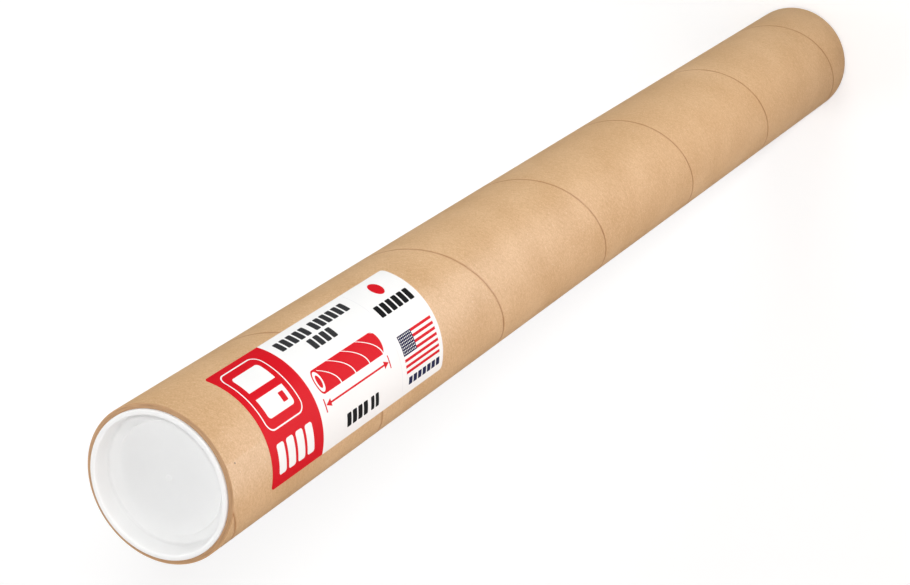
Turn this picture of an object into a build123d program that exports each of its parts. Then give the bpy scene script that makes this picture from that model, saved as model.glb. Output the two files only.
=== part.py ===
from build123d import *
from math import cos, degrees, radians, sin
import os

# A kraft mailing tube standing on end, with a plastic cap plugged into each end
# and a paper label stuck round its upper part. Millimetres. +Z runs up the tube,
# the label faces -Y, and the origin is on the floor line on the tube's axis.

# The tube, wound from strips of kraft board
BORE = 76.2                # 3 inches inside
WALL = 4.06                # 0.16 inch of board
LENGTH = 914.4             # 36 inches

# The seam where the edges of the outermost strip meet
SEAM_PITCH = 148.1         # up the tube for one turn
SEAM_GAP = 0.6             # between the two edges of the strip
PLY = 0.35                 # thickness of the outermost strip
SEAM_FROM_TOP = 129.9      # from the board's upper end to where the seam crosses the front

# The caps, moulded in soft polyethylene
CAP_CLEARANCE = 0.05       # between the cap and the bore, on the radius
FLANGE_OVERHANG = 1.3      # of the flange past the bore, on the radius
FLANGE_THICKNESS = 2.0
CAP_WALL = 1.5
CAP_LAND = 3.0             # straight stretch of the wall beside the flange
CAP_TAPER = 0.9            # that the wall draws in beyond the land, on the radius
DISH_DEPTH = 8.6           # from the end of the board to the cap's floor
FLOOR_THICKNESS = 1.3
PANEL_MARGIN = 5.4         # from the foot of the wall to the raised panel
PANEL_RISE = 0.4
PANEL_DRAFT = 0.2          # that the panel's edge leans in as it rises
GATE_RADIUS = 1.6          # moulding mark in the middle of the panel
GATE_RISE = 0.25
RIM_BEVEL = 0.5            # outer corner of the flange
LIP_BEVEL = 0.6            # inner corner of the flange
HEEL_BEVEL = 0.9           # outer corner at the foot of the wall
FOOT_BEVEL = 0.8           # inner corner at the foot of the wall

# The label, measured flat
LABEL_HEIGHT = 182.3       # up the tube
LABEL_WIDTH = 72.2         # round the tube
LABEL_THICKNESS = 0.12
GLUE = 0.03                # between the board and the paper
LABEL_FROM_TOP = 36.2      # from the board's upper end to the label
LABEL_CORNER = 2.5

# What follows from them
BORE_RADIUS = BORE / 2
RADIUS = BORE_RADIUS + WALL
BOTTOM = FLANGE_THICKNESS
TOP = BOTTOM + LENGTH
FRONT = -90                # direction of -Y, in degrees round the axis


def round_the_tube(arc):
    """Degrees that an arc of this length spans on the outside of the tube."""
    return degrees(arc / RADIUS)


def pipe(outer, inner, height):
    """A plain pipe that stands on z = 0."""
    return extrude(Circle(outer) - Circle(inner), height)


def seam():
    """The helical gap between the edges of the outermost strip, as a solid to cut away.

    It starts a little below the board and runs past its upper end, so that it
    notches both rims as the edge of the strip does.
    """
    run_out = 0.2 * SEAM_PITCH
    start = BOTTOM - run_out
    turns_below_crossing = (TOP - SEAM_FROM_TOP - start) / SEAM_PITCH
    helix = Edge.make_helix(SEAM_PITCH, LENGTH + 2 * run_out, RADIUS)
    cutter = Plane(
        origin=helix @ 0, x_dir=(1, 0, 0), z_dir=helix % 0
    ) * Rectangle(2 * PLY, SEAM_GAP)
    groove = sweep(cutter, path=helix, is_frenet=True)
    return Pos(0, 0, start) * Rot(0, 0, FRONT - 360 * turns_below_crossing) * groove


def cap():
    """One cap, as it plugs the upper end of a board that ends at z = 0.

    It is a shallow dish with a flange, turned from a profile of radius and
    height.
    """
    land = BORE_RADIUS - CAP_CLEARANCE
    heel = land - CAP_TAPER
    lip = land - CAP_WALL
    foot = heel - CAP_WALL
    flange = BORE_RADIUS + FLANGE_OVERHANG
    underside = -DISH_DEPTH - FLOOR_THICKNESS
    panel_foot = foot - PANEL_MARGIN
    panel_top = -DISH_DEPTH + PANEL_RISE
    gate_top = panel_top + GATE_RISE
    bevelled = [
        ((lip, FLANGE_THICKNESS), LIP_BEVEL),
        ((flange, FLANGE_THICKNESS), RIM_BEVEL),
        ((heel, underside), HEEL_BEVEL),
        ((foot, -DISH_DEPTH), FOOT_BEVEL),
    ]
    profile = make_face(Polyline(
        (lip, FLANGE_THICKNESS),
        (flange, FLANGE_THICKNESS),
        (flange, 0),
        (land, 0),
        (land, -CAP_LAND),
        (heel, underside),
        (0, underside),
        (0, gate_top),
        (GATE_RADIUS, gate_top),
        (GATE_RADIUS + GATE_RISE, panel_top),
        (panel_foot - PANEL_DRAFT, panel_top),
        (panel_foot, -DISH_DEPTH),
        (foot, -DISH_DEPTH),
        close=True,
    ))
    for corner, size in bevelled:
        profile = chamfer(profile.vertices().sort_by_distance(corner)[0], size)
    return revolve(Plane.XZ * profile, Axis.Z)


def label_corner(side, end):
    """The waste cut off one corner of the label to round it.

    side is 1 or -1 round the tube, and end is 1 for an upper corner and -1 for
    a lower one.
    """
    angle = radians(FRONT + side * round_the_tube(LABEL_WIDTH / 2 - LABEL_CORNER))
    middle = TOP - LABEL_FROM_TOP - LABEL_HEIGHT / 2
    centre = Plane(
        origin=(0, 0, middle + end * (LABEL_HEIGHT / 2 - LABEL_CORNER)),
        x_dir=(-sin(angle), cos(angle), 0),
        z_dir=(cos(angle), sin(angle), 0),
    )
    reach = 1.5 * LABEL_CORNER
    square = Pos(side * reach / 2, end * reach / 2) * Rectangle(reach, reach)
    return extrude(centre * (square - Circle(LABEL_CORNER)), 2 * RADIUS)


def label():
    """The paper label, a thin sheet that follows the board round from side to side of its front."""
    span = round_the_tube(LABEL_WIDTH)
    inner = CenterArc((0, 0), RADIUS + GLUE, FRONT - span / 2, span)
    outer = CenterArc((0, 0), RADIUS + GLUE + LABEL_THICKNESS, FRONT - span / 2, span)
    section = make_face([inner, Line(inner @ 1, outer @ 1), outer, Line(outer @ 0, inner @ 0)])
    sheet = Pos(0, 0, TOP - LABEL_FROM_TOP - LABEL_HEIGHT) * extrude(section, LABEL_HEIGHT)
    for side in (1, -1):
        for end in (1, -1):
            sheet -= label_corner(side, end)
    return sheet


parts = {
    "tube": Pos(0, 0, BOTTOM) * pipe(RADIUS, BORE_RADIUS, LENGTH) - seam(),
    "top_cap": Pos(0, 0, TOP) * cap(),
    "bottom_cap": Pos(0, 0, BOTTOM) * Rot(180, 0, 0) * cap(),
    "label": label(),
}
os.makedirs("parts", exist_ok=True)
for name, part in parts.items():
    export_step(part, f"parts/{name}.step")
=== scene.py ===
import math

import bmesh
import bpy
from mathutils import Matrix, Vector


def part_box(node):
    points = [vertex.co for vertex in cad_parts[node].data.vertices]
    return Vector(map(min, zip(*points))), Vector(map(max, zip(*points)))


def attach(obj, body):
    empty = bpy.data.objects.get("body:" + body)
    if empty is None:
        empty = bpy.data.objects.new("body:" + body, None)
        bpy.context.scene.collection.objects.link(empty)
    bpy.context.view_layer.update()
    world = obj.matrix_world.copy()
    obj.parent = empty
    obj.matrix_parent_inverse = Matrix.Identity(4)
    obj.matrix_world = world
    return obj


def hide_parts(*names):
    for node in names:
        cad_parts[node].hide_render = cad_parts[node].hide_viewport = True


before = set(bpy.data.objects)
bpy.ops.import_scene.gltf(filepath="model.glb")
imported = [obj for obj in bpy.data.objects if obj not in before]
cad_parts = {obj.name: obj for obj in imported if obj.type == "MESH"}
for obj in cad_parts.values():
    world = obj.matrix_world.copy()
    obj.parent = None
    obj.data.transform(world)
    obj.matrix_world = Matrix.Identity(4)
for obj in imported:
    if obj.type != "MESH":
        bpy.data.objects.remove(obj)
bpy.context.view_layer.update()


# The board tube
# Strips of brown kraft paper are wound on a slant, glued and sawn to length. The two edges of the
# outermost strip meet in one seam that climbs round the tube, and the strip's sharp corner has come
# a little loose where the seam runs out at the upper rim.

board_low, board_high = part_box("tube")
BOARD_BOTTOM = board_low.z
BOARD_TOP = board_high.z
BOARD_RADIUS = (board_high.x - board_low.x) / 2
BORE_RADIUS = 0.0381
STRIP_PITCH = 0.1481              # up the tube for one turn of the strip
SEAM_FROM_TOP = 0.1299            # from the upper rim to where the seam crosses the front
SEAM_GAP = 0.00016
SEAM_DEPTH = 0.00035
STRIP_EDGE_ROUND = 0.0001
STRIP_ROWS = [0.0015, 0.004, 0.008, 0.014]    # rows of points beside the seam
LOOSE_REACH = 0.011               # how far the strip's corner has come loose from its tip
LOOSE_LIFT = 0.0004               # that the tip stands off the board
LOOSE_GAP = 0.0006                # that the seam opens at the tip
RIM_ROUND = 0.00025
RIM_STEPS = 3
WINDING_STEPS = 256

# The strip's lower edge, where it passes +X, one turn or more below the lower rim
SEAM_AT_X = BOARD_TOP - SEAM_FROM_TOP + STRIP_PITCH / 4
TURNS_BELOW = math.ceil((SEAM_AT_X - BOARD_BOTTOM) / STRIP_PITCH) + 1
STRIP_START = SEAM_AT_X - TURNS_BELOW * STRIP_PITCH
STRIP_TURNS = math.ceil((BOARD_TOP - STRIP_START) / STRIP_PITCH)


def edit(piece):
    """Opens the piece in edit mode with nothing selected."""
    bpy.ops.object.select_all(action="DESELECT")
    piece.select_set(True)
    bpy.context.view_layer.objects.active = piece
    bpy.ops.object.mode_set(mode="EDIT")
    bpy.ops.mesh.select_all(action="DESELECT")


def close():
    """Leaves edit mode."""
    bpy.ops.object.mode_set(mode="OBJECT")


def pick(piece, kind, wanted):
    """Adds to the selection, in edit mode, each vertex, edge or face whose points are all wanted."""
    form = bmesh.from_edit_mesh(piece.data)
    bpy.context.tool_settings.mesh_select_mode = (kind == "VERT", kind == "EDGE", kind == "FACE")
    for part in {"VERT": form.verts, "EDGE": form.edges, "FACE": form.faces}[kind]:
        points = [part.co] if kind == "VERT" else [corner.co for corner in part.verts]
        if all(wanted(point) for point in points):
            part.select_set(True)
    form.select_flush_mode()
    bmesh.update_edit_mesh(piece.data)


def outline(name, points):
    """A line of edges through points of radius and height, extruded from one vertex to the next."""
    places = [Vector((radius, 0, height)) for radius, height in points]
    bpy.ops.object.select_all(action="DESELECT")
    bpy.ops.mesh.primitive_plane_add(size=0.001, location=places[0])
    line = bpy.context.object
    line.name = name
    bpy.ops.object.transform_apply(location=True)
    bpy.context.tool_settings.mesh_select_mode = (True, False, False)
    bpy.ops.object.mode_set(mode="EDIT")
    bpy.ops.mesh.select_all(action="SELECT")
    bpy.ops.mesh.merge(type="CENTER")
    for here, there in zip(places, places[1:]):
        bpy.ops.mesh.extrude_region_move(TRANSFORM_OT_translate={"value": there - here})
    close()
    return line


def wind(line, steps, turns, pitch):
    """Turns a line of edges round the Z axis, climbing by the pitch on each turn."""
    winding = line.modifiers.new("winding", "SCREW")
    winding.axis = "Z"
    winding.steps = steps
    winding.render_steps = steps
    winding.iterations = turns
    winding.screw_offset = pitch
    bpy.context.view_layer.objects.active = line
    bpy.ops.object.modifier_apply(modifier=winding.name)


def seal(piece, angle):
    """Merges doubled points, turns the faces outwards and shades smooth up to the angle."""
    edit(piece)
    bpy.ops.mesh.select_all(action="SELECT")
    bpy.ops.mesh.remove_doubles(threshold=2e-6)
    bpy.ops.mesh.select_all(action="SELECT")
    bpy.ops.mesh.normals_make_consistent(inside=False)
    close()
    bpy.ops.object.shade_smooth_by_angle(angle=math.radians(angle))


def loosen_corner(piece):
    """Lifts the strip's corner off the board and draws it back from the seam.

    The corner lies above the seam and below the upper rim, with its tip where
    the seam reaches the rim.
    """
    tip = (SEAM_FROM_TOP / STRIP_PITCH - 0.25) * 2 * math.pi
    for vertex in piece.data.vertices:
        x, y, height = vertex.co
        turn = (math.atan2(y, x) - tip + math.pi) % (2 * math.pi) - math.pi
        over_seam = height - BOARD_TOP - turn / (2 * math.pi) * STRIP_PITCH
        from_tip = math.hypot(turn * BOARD_RADIUS, height - BOARD_TOP)
        if over_seam > 0.1 * SEAM_GAP and from_tip < LOOSE_REACH:
            share = (1 - from_tip / LOOSE_REACH) ** 1.5
            on_top = math.hypot(x, y) > BOARD_RADIUS - SEAM_DEPTH / 2
            out = 1 + LOOSE_LIFT * share / BOARD_RADIUS if on_top else 1
            vertex.co = (x * out, y * out, height + LOOSE_GAP * share)


def round_rim(piece, radius, end, outward):
    """Carries the cut edge at one end of the board round a quarter circle to the sawn face.

    end is 1 for the upper end and -1 for the lower one, and outward is 1 if the
    edge opens out as it rounds, as the bore does, and -1 if it closes in.
    """
    height = (BOARD_TOP if end > 0 else BOARD_BOTTOM) - end * RIM_ROUND
    edit(piece)
    pick(piece, "EDGE", lambda point: abs(point.z - height) < 1e-6)
    here = radius
    risen = 0
    for step in range(1, RIM_STEPS + 1):
        turn = math.radians(90 * step / RIM_STEPS)
        there = radius + outward * RIM_ROUND * (1 - math.cos(turn))
        rise = RIM_ROUND * math.sin(turn)
        bpy.ops.mesh.extrude_region_move(
            TRANSFORM_OT_translate={"value": (0, 0, end * (rise - risen))}
        )
        bpy.ops.transform.resize(
            value=(there / here, there / here, 1), center_override=(0, 0, 0)
        )
        here = there
        risen = rise
    close()


half_gap = SEAM_GAP / 2
lower_edge = [
    (BOARD_RADIUS - SEAM_DEPTH, half_gap),
    (BOARD_RADIUS - STRIP_EDGE_ROUND, half_gap),
    (BOARD_RADIUS - 0.3 * STRIP_EDGE_ROUND, half_gap + 0.3 * STRIP_EDGE_ROUND),
    (BOARD_RADIUS, half_gap + STRIP_EDGE_ROUND),
]
lower_half = lower_edge + [(BOARD_RADIUS, row) for row in STRIP_ROWS]
upper_half = [(radius, STRIP_PITCH - row) for radius, row in reversed(lower_half)]
strip_section = [(BOARD_RADIUS - SEAM_DEPTH, -half_gap)] + lower_half + upper_half
board = outline("board_tube", [(radius, STRIP_START + row) for radius, row in strip_section])
wind(board, WINDING_STEPS, STRIP_TURNS, STRIP_PITCH)
seal(board, 40)
loosen_corner(board)
for end, height in ((1, BOARD_TOP - RIM_ROUND), (-1, BOARD_BOTTOM + RIM_ROUND)):
    edit(board)
    bpy.ops.mesh.select_all(action="SELECT")
    bpy.ops.mesh.bisect(
        plane_co=(0, 0, height), plane_no=(0, 0, end), clear_outer=True, threshold=1e-7
    )
    close()
    round_rim(board, BOARD_RADIUS, end, -1)

bpy.ops.mesh.primitive_cylinder_add(
    vertices=WINDING_STEPS,
    radius=BORE_RADIUS,
    depth=BOARD_TOP - BOARD_BOTTOM - 2 * RIM_ROUND,
    end_fill_type="NOTHING",
    location=(0, 0, (BOARD_TOP + BOARD_BOTTOM) / 2),
)
bore = bpy.context.object
bpy.ops.object.transform_apply(location=True)
for end in (1, -1):
    round_rim(bore, BORE_RADIUS, end, 1)
bpy.ops.object.select_all(action="DESELECT")
bore.select_set(True)
board.select_set(True)
bpy.context.view_layer.objects.active = board
bpy.ops.object.join()
for height in (BOARD_TOP, BOARD_BOTTOM):
    edit(board)
    pick(board, "EDGE", lambda point: abs(point.z - height) < 1e-6)
    bpy.ops.mesh.fill(use_beauty=True)
    close()
seal(board, 40)


# The kraft board's finish
# Unbleached brown paper: fine fibres that run along the strip, faint clouds of denser pulp, and dark
# and pale flecks. The sawn ends show the plies as rings, with a painted highlight along their outer
# edge, and the bore is a greyer recycled board.

class Signal:
    """One output in a node tree. Arithmetic on it adds Math nodes."""

    def __init__(self, tree, socket):
        self.tree = tree
        self.socket = socket

    def math(self, operation, *others):
        """A Math node whose first input is this signal."""
        node = self.tree.nodes.new("ShaderNodeMath")
        node.operation = operation
        for socket, value in zip(node.inputs, (self, *others)):
            feed(self.tree, socket, value)
        return Signal(self.tree, node.outputs[0])

    def __add__(self, other):
        return self.math("ADD", other)

    def __sub__(self, other):
        return self.math("SUBTRACT", other)

    def __rsub__(self, other):
        return self.math("MULTIPLY_ADD", -1.0, other)

    def __mul__(self, other):
        return self.math("MULTIPLY", other)

    def __truediv__(self, other):
        return self.math("DIVIDE", other)

    def __mod__(self, other):
        return self.math("FLOORED_MODULO", other)

    def __lt__(self, other):
        return self.math("LESS_THAN", other)

    def __gt__(self, other):
        return self.math("GREATER_THAN", other)

    def __abs__(self):
        return self.math("ABSOLUTE")

    __radd__ = __add__
    __rmul__ = __mul__


def feed(tree, socket, value):
    """Sets a socket to a value, or links a signal to it."""
    if isinstance(value, Signal):
        tree.links.new(value.socket, socket)
    else:
        socket.default_value = value


def length(x, y):
    """The signal's distance from nought, by its two parts at right angles."""
    return (x * x + y * y).math("SQRT")


class Shader:
    """A node tree, with one way to add any node to it."""

    def __init__(self, tree):
        self.tree = tree

    def node(self, kind, settings, sockets, output=0):
        """Adds one node with its settings made first, and gives one of its outputs."""
        node = self.tree.nodes.new("ShaderNode" + kind)
        for name, value in settings.items():
            setattr(node, name, value)
        for name, value in sockets.items():
            feed(self.tree, node.inputs[name], value)
        return Signal(self.tree, node.outputs[output])

    def blend(self, amount, under, over):
        """A colour that goes from one to the other as the amount goes from 0 to 1."""
        sockets = {0: amount, 6: under, 7: over}
        return self.node("Mix", {"data_type": "RGBA"}, sockets, 2)

    def join(self, x, y, z):
        """A vector of three signals."""
        return self.node("CombineXYZ", {}, {"X": x, "Y": y, "Z": z})

    def split(self, vector):
        """The three signals in a vector."""
        return [self.node("SeparateXYZ", {}, {0: vector}, axis) for axis in "XYZ"]

    def noise(self, place, scale, detail, roughness=0.5):
        """Soft noise between about 0.3 and 0.7, with this many waves to the metre."""
        sockets = {"Vector": place, "Scale": scale, "Detail": detail, "Roughness": roughness}
        return self.node("TexNoise", {}, sockets)

    def ramp(self, signal, low, high):
        """0 at low, 1 at high and straight between them."""
        sockets = {"Value": signal, "From Min": low, "From Max": high}
        return self.node("MapRange", {}, sockets)

    def distance(self, place, point):
        """How far a place on the surface is from one fixed point."""
        return self.node("VectorMath", {"operation": "DISTANCE"}, {0: place, 1: point}, "Value")

    def swap(self, kind, share, usual, instead):
        """The usual shader, with a share of another in its place for one kind of ray."""
        amount = self.node("LightPath", {}, {}, kind) * share
        return self.node("MixShader", {}, {0: amount, 1: usual, 2: instead})


class Finish(Shader):
    """A material on one Principled surface, with its constant sockets set."""

    def __init__(self, name, constants):
        self.material = bpy.data.materials.new(name)
        self.material.use_nodes = True
        super().__init__(self.material.node_tree)
        self.surface = self.tree.nodes["Principled BSDF"]
        self.place = self.node("TexCoord", {}, {}, "Object")
        for socket, value in constants.items():
            self.surface.inputs[socket].default_value = value

    def show(self, socket, signal):
        """Feeds one socket of the surface."""
        feed(self.tree, self.surface.inputs[socket], signal)

    def relief(self, height, distance, strength):
        """Raises the surface by the height times the distance, in the shading alone."""
        sockets = {"Height": height, "Distance": distance, "Strength": strength}
        self.show("Normal", self.node("Bump", {}, sockets))

    def coat(self, piece):
        """Gives the piece this material and no other."""
        piece.data.materials.clear()
        piece.data.materials.append(self.material)


def srgb(red, green, blue):
    """A colour given as it looks on a screen, 0 to 255, as a linear one."""
    linear = []
    for channel in (red, green, blue):
        share = channel / 255
        linear.append(share / 12.92 if share <= 0.04045 else ((share + 0.055) / 1.055) ** 2.4)
    return (*linear, 1.0)


KRAFT_PALE = srgb(224, 187, 143)
KRAFT_DARK = srgb(202, 161, 112)
KRAFT_FLECK = srgb(150, 108, 70)
KRAFT_WHITE_FLECK = srgb(238, 214, 182)
SEAM_BROWN = srgb(164, 100, 48)
# Painted highlight: the paler colour laid on the outer edge of each sawn end, where the rounded
# outer ply catches the light
RIM_PAINTED_HIGHLIGHT = srgb(200, 158, 114)
PLY_PALE = srgb(198, 158, 116)
PLY_DARK = srgb(170, 130, 92)
LINER = srgb(186, 154, 120)
SPECK = srgb(96, 70, 48)          # the one dark speck beside the upper rim
SPECK_TURN = math.radians(-102.9)
SPECK_PLACE = (
    BOARD_RADIUS * math.cos(SPECK_TURN), BOARD_RADIUS * math.sin(SPECK_TURN), BOARD_TOP - 0.0074
)
STRIP_SLANT = math.atan2(STRIP_PITCH, 2 * math.pi * BOARD_RADIUS)
STRIP_ROUND = 2 * math.pi * BOARD_RADIUS / math.cos(STRIP_SLANT)    # along the strip for one turn
STAIN_REACH = 0.0017              # from the seam to where its stain has faded out
STAIN_CORE = 0.0003

# Waves of noise to the metre, either the same each way or along the strip, across it and into it
CLOUD_WAVES = 26
GRAIN_WAVES = 950
RING_WAVES = 2400
PULP_WAVES = (280, 400, 400)
FIBRE_WAVES = (260, 2100, 900)
FLECK_WAVES = (700, 1100, 900)
STAIN_WAVES = (90, 0, 0)

kraft = Finish("kraft_board", {"IOR": 1.45, "Specular IOR Level": 1.0, "Diffuse Roughness": 0.6})
x, y, height = kraft.split(kraft.place)
angle = y.math("ARCTAN2", x)
radius = length(x, y)
turn = angle / (2 * math.pi)
climb = (height - STRIP_START) / STRIP_PITCH - turn
across = (climb % 1.0) * STRIP_PITCH
along = (turn + climb.math("FLOOR")) * STRIP_ROUND + across * math.sin(STRIP_SLANT)
strip_place = kraft.join(along, across * math.cos(STRIP_SLANT), radius)


def on_strip(waves, scale, detail):
    """Noise that is stretched to this many waves to the metre each way on the strip."""
    place = kraft.join(along * waves[0], across * waves[1], radius * waves[2])
    return kraft.noise(place, scale, detail)


clouds = kraft.noise(kraft.place, CLOUD_WAVES, 3)
pulp = on_strip(PULP_WAVES, 1.0, 2)
grain = kraft.noise(strip_place, GRAIN_WAVES, 2, 0.6)
fibres = on_strip(FIBRE_WAVES, 1.0, 2)
shade = clouds * 0.24 + pulp * 0.2 + grain * 0.42 + fibres * 0.14
colour = kraft.blend(kraft.ramp(shade, 0.4, 0.6), KRAFT_DARK, KRAFT_PALE)
dark_flecks = kraft.ramp(on_strip(FLECK_WAVES, 1.0, 1), 0.72, 0.78)
pale_flecks = kraft.ramp(on_strip(FLECK_WAVES, 0.8, 1), 0.29, 0.24)
colour = kraft.blend(dark_flecks * 0.5, colour, KRAFT_FLECK)
colour = kraft.blend(pale_flecks * 0.45, colour, KRAFT_WHITE_FLECK)
speck = kraft.ramp(kraft.distance(kraft.place, SPECK_PLACE), 0.0006, 0.0003)
colour = kraft.blend(speck, colour, SPECK)

from_seam = across.math("MINIMUM", STRIP_PITCH - across)
uneven = kraft.ramp(on_strip(STAIN_WAVES, 1.0, 2), 0.35, 0.65)
stain = kraft.ramp(from_seam, STAIN_REACH, STAIN_CORE) * (0.34 + uneven * 0.3)
colour = kraft.blend(stain, colour, SEAM_BROWN)

rings = kraft.noise(kraft.join(radius * RING_WAVES, angle * 5, 0.0), 1.0, 2)
rim = (height > BOARD_TOP - 0.6 * RIM_ROUND) + (height < BOARD_BOTTOM + 0.6 * RIM_ROUND)
ring_colour = kraft.blend(kraft.ramp(rings, 0.3, 0.7), PLY_DARK, PLY_PALE)
# Painted highlight on the outer edge of the sawn ends, where the rounded corner of the outer ply
# catches light; the rings under it are the plies' own colour
rim_highlight_mask = kraft.ramp(radius, BOARD_RADIUS - 0.0008, BOARD_RADIUS - 0.0004)
ring_colour = kraft.blend(rim_highlight_mask * 0.8, ring_colour, RIM_PAINTED_HIGHLIGHT)
in_bore = radius < (BORE_RADIUS + BOARD_RADIUS) / 2
colour = kraft.blend(in_bore * 0.85, colour, kraft.blend(shade, LINER, KRAFT_DARK))
kraft.show("Base Color", kraft.blend(rim, colour, ring_colour))
kraft.show("Roughness", 0.34 + shade * 0.14)
kraft.relief(pulp * 0.4 + grain * 0.3 + fibres * 0.4 + rings * rim, 0.00004, 0.5)
kraft.coat(board)

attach(board, "tube")
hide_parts("tube")


# The caps
# Each is moulded in soft white polyethylene: a shallow dish whose wall plugs the bore, with a
# flange that stops on the board's end, a raised panel in its floor and a gate mark in the middle.

cap_low, cap_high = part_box("top_cap")
FLANGE_RADIUS = 0.0394
FLANGE_TOP = cap_high.z - BOARD_TOP
LAND_RADIUS = 0.03805
LAND = -0.003
HEEL_RADIUS = 0.03715
UNDERSIDE = cap_low.z - BOARD_TOP
LIP_RADIUS = 0.03655
FOOT_RADIUS = 0.03565
CAP_FLOOR = -0.0086
PANEL_FOOT = 0.03025
PANEL_EDGE = 0.03005
PANEL = CAP_FLOOR + 0.0004
GATE = PANEL + 0.00025
GATE_RADIUS = 0.0016
GATE_FOOT = 0.00185
CAP_STEPS = 192

# Each corner of a cap's half section, with how far it is cut back to round it
cap_section = [
    ((0, GATE), 0),
    ((GATE_RADIUS, GATE), 0.0001),
    ((GATE_FOOT, PANEL), 0.0001),
    ((PANEL_EDGE, PANEL), 0.00009),
    ((PANEL_FOOT, CAP_FLOOR), 0.00009),
    ((FOOT_RADIUS, CAP_FLOOR), 0.0013),
    ((LIP_RADIUS, FLANGE_TOP), 0.0008),
    ((FLANGE_RADIUS, FLANGE_TOP), 0.0006),
    ((FLANGE_RADIUS, 0), 0.0002),
    ((LAND_RADIUS, 0), 0),
    ((LAND_RADIUS, LAND), 0.0004),
    ((HEEL_RADIUS, UNDERSIDE), 0.001),
    ((0, UNDERSIDE), 0),
]

plastic = Finish("white_plastic", {
    "IOR": 1.51,
    "Specular IOR Level": 0.25,
    "Subsurface Weight": 0.7,
    "Subsurface Radius": (1.0, 1.0, 1.0),
    "Subsurface Scale": 0.006,
})
skin = plastic.noise(plastic.place, 260, 2)
flow = plastic.noise(plastic.place, 45, 2)
white = plastic.blend(plastic.ramp(flow, 0.35, 0.65), srgb(248, 248, 247), srgb(252, 252, 251))
plastic.show("Base Color", white)
plastic.show("Roughness", 0.48 + flow * 0.16)
plastic.relief(skin, 0.00004, 0.35)


def mould_cap(name, node, end, height):
    """One cap, turned from its section. end is 1 for the upper cap and -1 for the lower."""
    cap = outline(name, [point for point, _ in cap_section])
    for (corner_radius, corner_height), size in cap_section:
        if size:
            corner = Vector((corner_radius, 0, corner_height))
            edit(cap)
            pick(cap, "VERT", lambda point: (point - corner).length < 1e-6)
            bpy.ops.mesh.bevel(offset=size, segments=6, affect="VERTICES")
            close()
    wind(cap, CAP_STEPS, 1, 0)
    seal(cap, 30)
    turned = Matrix.Identity(4) if end > 0 else Matrix.Rotation(math.pi, 4, "X")
    cap.data.transform(Matrix.Translation((0, 0, height)) @ turned)
    plastic.coat(cap)
    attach(cap, node)
    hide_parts(node)


mould_cap("upper_cap", "top_cap", 1, BOARD_TOP)
mould_cap("lower_cap", "bottom_cap", -1, BOARD_BOTTOM)


# The label
# A die-cut sheet of coated white paper with rounded corners, stuck round the front of the board near
# its upper end. Its print is plain: a red field, a badge, rows of blocks and a striped panel.

label_low, label_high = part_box("label")
LABEL_LENGTH = label_high.z - label_low.z
LABEL_WIDTH = 0.0722
LABEL_CORNER = 0.0025
LABEL_GLUE = 0.00003
LABEL_THICKNESS = 0.00012
LABEL_COLUMNS = 72
PRINT_MAP = "print"

bpy.ops.object.select_all(action="DESELECT")
bpy.ops.mesh.primitive_plane_add(size=1, location=(0, 0, 0))
label = bpy.context.object
label.name = "paper_label"
label.scale = (LABEL_WIDTH, LABEL_LENGTH, 1)
bpy.ops.object.transform_apply(scale=True)
edit(label)
bpy.ops.mesh.select_all(action="SELECT")
bpy.ops.mesh.bevel(offset=LABEL_CORNER, segments=8, affect="VERTICES")
for column in range(1, LABEL_COLUMNS):
    bpy.ops.mesh.select_all(action="SELECT")
    cut = LABEL_WIDTH * (column / LABEL_COLUMNS - 0.5)
    bpy.ops.mesh.bisect(plane_co=(cut, 0, 0), plane_no=(1, 0, 0), threshold=1e-7)
close()

# The print is laid out flat in millimetres, down from the label's upper end and round from its +X
# edge, before the sheet is bent round the board
label.data.uv_layers[0].name = PRINT_MAP
print_map = label.data.uv_layers[PRINT_MAP]
for loop in label.data.loops:
    flat = label.data.vertices[loop.vertex_index].co
    print_map.data[loop.index].uv = (
        (LABEL_LENGTH / 2 - flat.y) * 1000, (LABEL_WIDTH / 2 - flat.x) * 1000
    )
for vertex in label.data.vertices:
    bend = vertex.co.x / BOARD_RADIUS - math.pi / 2
    reach = BOARD_RADIUS + LABEL_GLUE
    rise = vertex.co.y + (label_low.z + label_high.z) / 2
    vertex.co = (reach * math.cos(bend), reach * math.sin(bend), rise)
edit(label)
bpy.ops.mesh.select_all(action="SELECT")
bpy.ops.mesh.normals_make_consistent(inside=False)
close()
paper_face = label.data.polygons[0]
if paper_face.normal.xy.dot(paper_face.center.xy) < 0:
    label.data.flip_normals()
thick = label.modifiers.new("thick", "SOLIDIFY")
thick.thickness = LABEL_THICKNESS
thick.offset = 1
bpy.context.view_layer.objects.active = label
bpy.ops.object.modifier_apply(modifier=thick.name)
bpy.ops.object.shade_smooth_by_angle(angle=math.radians(30))

PAPER = srgb(236, 236, 235)
RED = srgb(208, 6, 26)
GREY = srgb(52, 52, 54)
BLACK = srgb(24, 24, 26)
NAVY = srgb(30, 32, 72)
PALE_LINE = srgb(226, 226, 228)
INK_EDGE = 0.06                   # millimetres over which the ink fades out at its edge

printed = Finish("label_paper", {"IOR": 1.5, "Specular IOR Level": 0.08})
down, over, _ = printed.split(printed.node("UVMap", {"uv_map": PRINT_MAP}, {}))


def block(left, right, top, bottom, corner=0.0, down=down):
    """Ink in a box, from left to right down the label and from top to bottom round it."""
    past_end = abs(down - (left + right) / 2) - ((right - left) / 2 - corner)
    past_side = abs(over - (top + bottom) / 2) - ((bottom - top) / 2 - corner)
    outside = length(past_end.math("MAXIMUM", 0.0), past_side.math("MAXIMUM", 0.0))
    return printed.ramp(outside, corner + INK_EDGE, corner)


def row(count, left, right, top, bottom, gap, corner=0.5):
    """Ink in a row of equal blocks with gaps between them."""
    step = (right - left + gap) / count
    repeated = (down - left) % step
    return block(0, step - gap, top, bottom, corner, repeated) * block(left, right, top, bottom)


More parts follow.
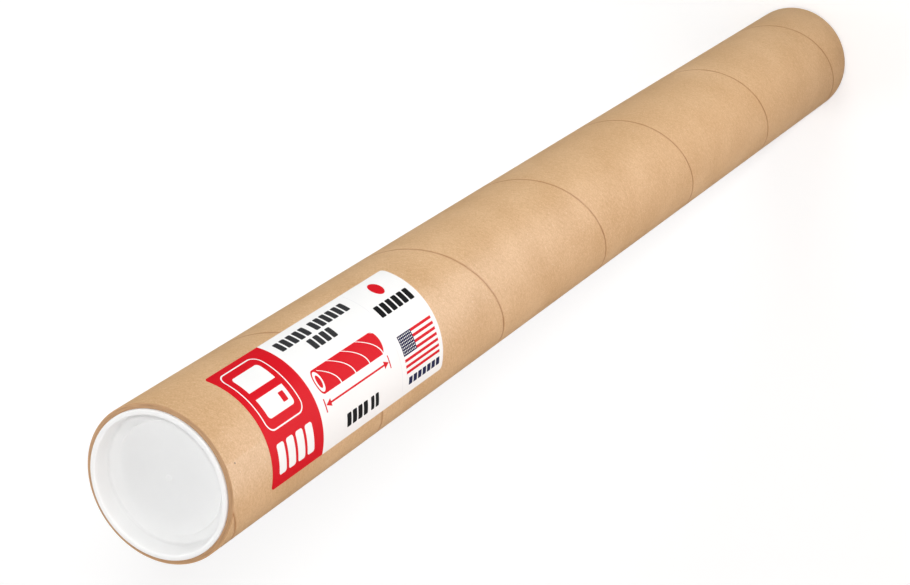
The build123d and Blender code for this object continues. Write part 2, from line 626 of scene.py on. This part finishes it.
def oval(middle_down, middle_over, half_length, half_width):
    """Ink in an ellipse round a point that far down the label and round it."""
    out = length((down - middle_down) / half_length, (over - middle_over) / half_width)
    return printed.ramp(out, 1 + INK_EDGE / half_length, 1)


def ink(page, mask, colour):
    """Prints the colour over the page where the mask is 1."""
    return printed.blend(mask, page, colour)


# The red field at the upper end, with a framed parcel and a row of blocks
page = ink(PAPER, block(-5, 50, -5, 80), RED)
frame = block(4.7, 39.5, 3.9, 43.5, 6.0) - block(5.5, 38.7, 4.7, 42.7, 5.2)
parcel = block(10.0, 34.5, 9.5, 37.5, 2.2)
tape = block(8.0, 36.5, 21.3, 25.7)
sticker = block(27.0, 31.5, 28.6, 34.2, 0.6)
page = ink(page, frame + parcel * (1.0 - tape) * (1.0 - sticker), PAPER)
page = ink(page, row(4, 6.5, 40.5, 50.0, 66.0, 2.4, 1.6), PAPER)

# Rows of plain blocks in grey, black and dark blue
page = ink(page, row(5, 56.5, 86.5, 4.7, 11.8, 1.5, 0.8), GREY)
page = ink(page, row(6, 91.0, 127.0, 4.7, 11.8, 1.5, 0.8), GREY)
page = ink(page, row(4, 76.2, 99.8, 13.7, 20.7, 1.5, 0.8), GREY)
page = ink(page, row(4, 74.5, 96.5, 58.8, 66.4, 1.4, 0.8), BLACK)
page = ink(page, row(2, 100.0, 108.5, 58.8, 66.4, 1.4, 0.8), BLACK)
page = ink(page, row(6, 139.8, 176.8, 18.6, 26.3, 1.5, 0.8), BLACK)
page = ink(page, row(7, 142.4, 178.0, 63.0, 67.4, 1.2, 0.5), NAVY)

# A drawing of a wound tube, with its length measured below it
sign_left, sign_right, sign_top, sign_bottom = 60.5, 121.0, 28.6, 42.4
sign_middle = (sign_top + sign_bottom) / 2
sign_half = (sign_bottom - sign_top) / 2
body = block(sign_left, sign_right, sign_top, sign_bottom)
ends = oval(sign_left, sign_middle, 4.2, sign_half) + oval(sign_right, sign_middle, 4.2, sign_half)
body = body.math("MAXIMUM", ends)
bow = (over - sign_middle) / sign_half
seam_line = (down - 1.2 * over + 4.0 * bow * bow) % 15.0
seam_lines = (seam_line < 0.9) * (1.0 - oval(sign_left, sign_middle, 4.9, sign_half + 0.8))
mouth = oval(sign_left, sign_middle, 3.2, sign_half - 1.2)
mouth = mouth - oval(sign_left, sign_middle, 1.9, sign_half - 3.3)
page = ink(page, body * (1.0 - seam_lines) * (1.0 - mouth), RED)
measure = block(58.4, 123.2, 47.3, 48.3) + block(56.3, 57.3, 44.2, 51.4)
measure = measure + block(124.3, 125.3, 44.2, 51.4)
slope = abs(over - 47.8) / 0.42
points = printed.ramp(slope - (down - 57.6), INK_EDGE, 0.0) * block(57.6, 62.6, 44, 52)
points = points + printed.ramp(slope - (124.0 - down), INK_EDGE, 0.0) * block(119.0, 124.0, 44, 52)
page = ink(page, measure.math("MAXIMUM", points), RED)

# The lower end: a dividing line, a disc and a striped panel with a dotted corner
page = ink(page, block(134.9, 135.3, 2.0, 69.0), PALE_LINE)
page = ink(page, oval(158.8, 9.6, 5.0, 5.0), RED)
stripes = ((over - 39.0) % 3.3) < 1.65
page = ink(page, block(140.0, 178.2, 39.0, 60.5) * stripes, RED)
page = ink(page, block(140.0, 154.8, 39.0, 50.5), NAVY)
dots = length((down - 140.4) % 1.75 - 0.875, (over - 39.3) % 1.55 - 0.775)
dots = printed.ramp(dots, 0.44, 0.38) * block(140.4, 154.4, 39.3, 50.15)
page = ink(page, dots, PAPER)
printed.show("Base Color", page)
tooth = printed.noise(printed.place, 900, 2)
wave = printed.noise(printed.place, 60, 1)
printed.show("Roughness", 0.40 + tooth * 0.12)
printed.relief(tooth * 0.3 + wave, 0.00006, 0.4)
printed.coat(label)
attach(label, "tube")
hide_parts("label")


# The floor, the light and the camera
# The tube stands on a plain white floor under broad soft lights, with a warmer one low on its left.
# The camera looks down on it, rolled so that the tube lies across the picture as in the photograph.

FLOOR_SIZE = 12.0
FLOOR_GLOW = 0.2                  # how much of the floor's look to the camera is plain white
GLOW_STRENGTH = 1.78
WORLD_LIGHT = 0.44
DIMMED = 0.95                     # how much darker the floor and the sky are in reflections

bpy.ops.mesh.primitive_plane_add(size=FLOOR_SIZE, location=(0, 0, 0))
floor = bpy.context.object
floor.name = "floor"
ground = Finish("white_floor", {
    "Base Color": (0.9, 0.9, 0.9, 1), "Roughness": 0.9, "Specular IOR Level": 0.0,
})
glow = ground.node("Emission", {}, {"Color": (1, 1, 1, 1), "Strength": GLOW_STRENGTH})
dark = ground.node("Emission", {}, {"Color": (0, 0, 0, 1), "Strength": 0.0})
lit = Signal(ground.tree, ground.surface.outputs[0])
mixed = ground.swap("Is Glossy Ray", DIMMED, lit, dark)
mixed = ground.swap("Is Camera Ray", FLOOR_GLOW, mixed, glow)
feed(ground.tree, ground.tree.nodes["Material Output"].inputs["Surface"], mixed)
ground.coat(floor)

world = bpy.data.worlds.new("studio")
world.use_nodes = True
bpy.context.scene.world = world
studio = Shader(world.node_tree)
lighting = studio.node("Background", {}, {"Color": (1, 1, 1, 1), "Strength": WORLD_LIGHT})
backdrop = studio.node("Background", {}, {"Color": (1, 1, 1, 1), "Strength": 1.0})
dark = studio.node("Background", {}, {"Color": (0, 0, 0, 1), "Strength": 0.0})
mixed = studio.swap("Is Glossy Ray", DIMMED, lighting, dark)
mixed = studio.swap("Is Camera Ray", 1.0, mixed, backdrop)
feed(studio.tree, studio.tree.nodes["World Output"].inputs["Surface"], mixed)


def soft_light(name, place, target, width, depth, watts, tint=(1, 1, 1)):
    """A flat light that faces its target."""
    lamp = bpy.data.lights.new(name, "AREA")
    lamp.shape = "RECTANGLE"
    lamp.size = width
    lamp.size_y = depth
    lamp.energy = watts
    lamp.color = tint
    holder = bpy.data.objects.new(name, lamp)
    bpy.context.scene.collection.objects.link(holder)
    holder.location = place
    holder.rotation_euler = (Vector(target) - Vector(place)).to_track_quat("-Z", "Y").to_euler()
    holder.visible_camera = False


# Each light with its place, its target, its width and depth, its watts and any tint
soft_light("key", (0.38, -2.7, 3.8), (0, 0, 0.9), 0.3, 0.3, 50)
soft_light("right", (1.42, -0.88, 0.95), (0, 0, 0.45), 1.0, 1.0, 9)
soft_light("left", (-1.35, -0.75, 0.95), (0, 0, 0.5), 0.8, 0.8, 3.4, (1, 0.6, 0.45))
soft_light("top", (-0.2, -0.3, 2.6), (0, 0, 0.9), 0.6, 0.6, 8.5)
soft_light("back", (0.7, 1.6, 1.4), (0, 0, 0.45), 1.2, 1.2, 9)
# The bright ground in front of the tube, which gives its near end a pale sheen
soft_light("sheen", (-0.7, -0.78, 0.02), (-0.7, -0.779, 1), 1.8, 0.7, 10.5)

CAMERA_PLACE = (0.04283, -0.78849, 1.81358)
CAMERA_AZIMUTH = math.radians(3.32)
CAMERA_ELEVATION = math.radians(56.87)
CAMERA_ROLL = math.radians(-123.98)
CAMERA_LENS = 96.456
SENSOR_WIDTH = 36
camera_data = bpy.data.cameras.new("camera")
camera_data.lens = CAMERA_LENS
camera_data.sensor_width = SENSOR_WIDTH
camera_data.sensor_fit = "HORIZONTAL"
camera = bpy.data.objects.new("camera", camera_data)
bpy.context.scene.collection.objects.link(camera)
camera.matrix_world = (
    Matrix.Translation(CAMERA_PLACE)
    @ Matrix.Rotation(CAMERA_AZIMUTH, 4, "Z")
    @ Matrix.Rotation(math.pi / 2 - CAMERA_ELEVATION, 4, "X")
    @ Matrix.Rotation(CAMERA_ROLL, 4, "Z")
)
bpy.context.scene.camera = camera
bpy.context.scene.view_settings.view_transform = "Standard"
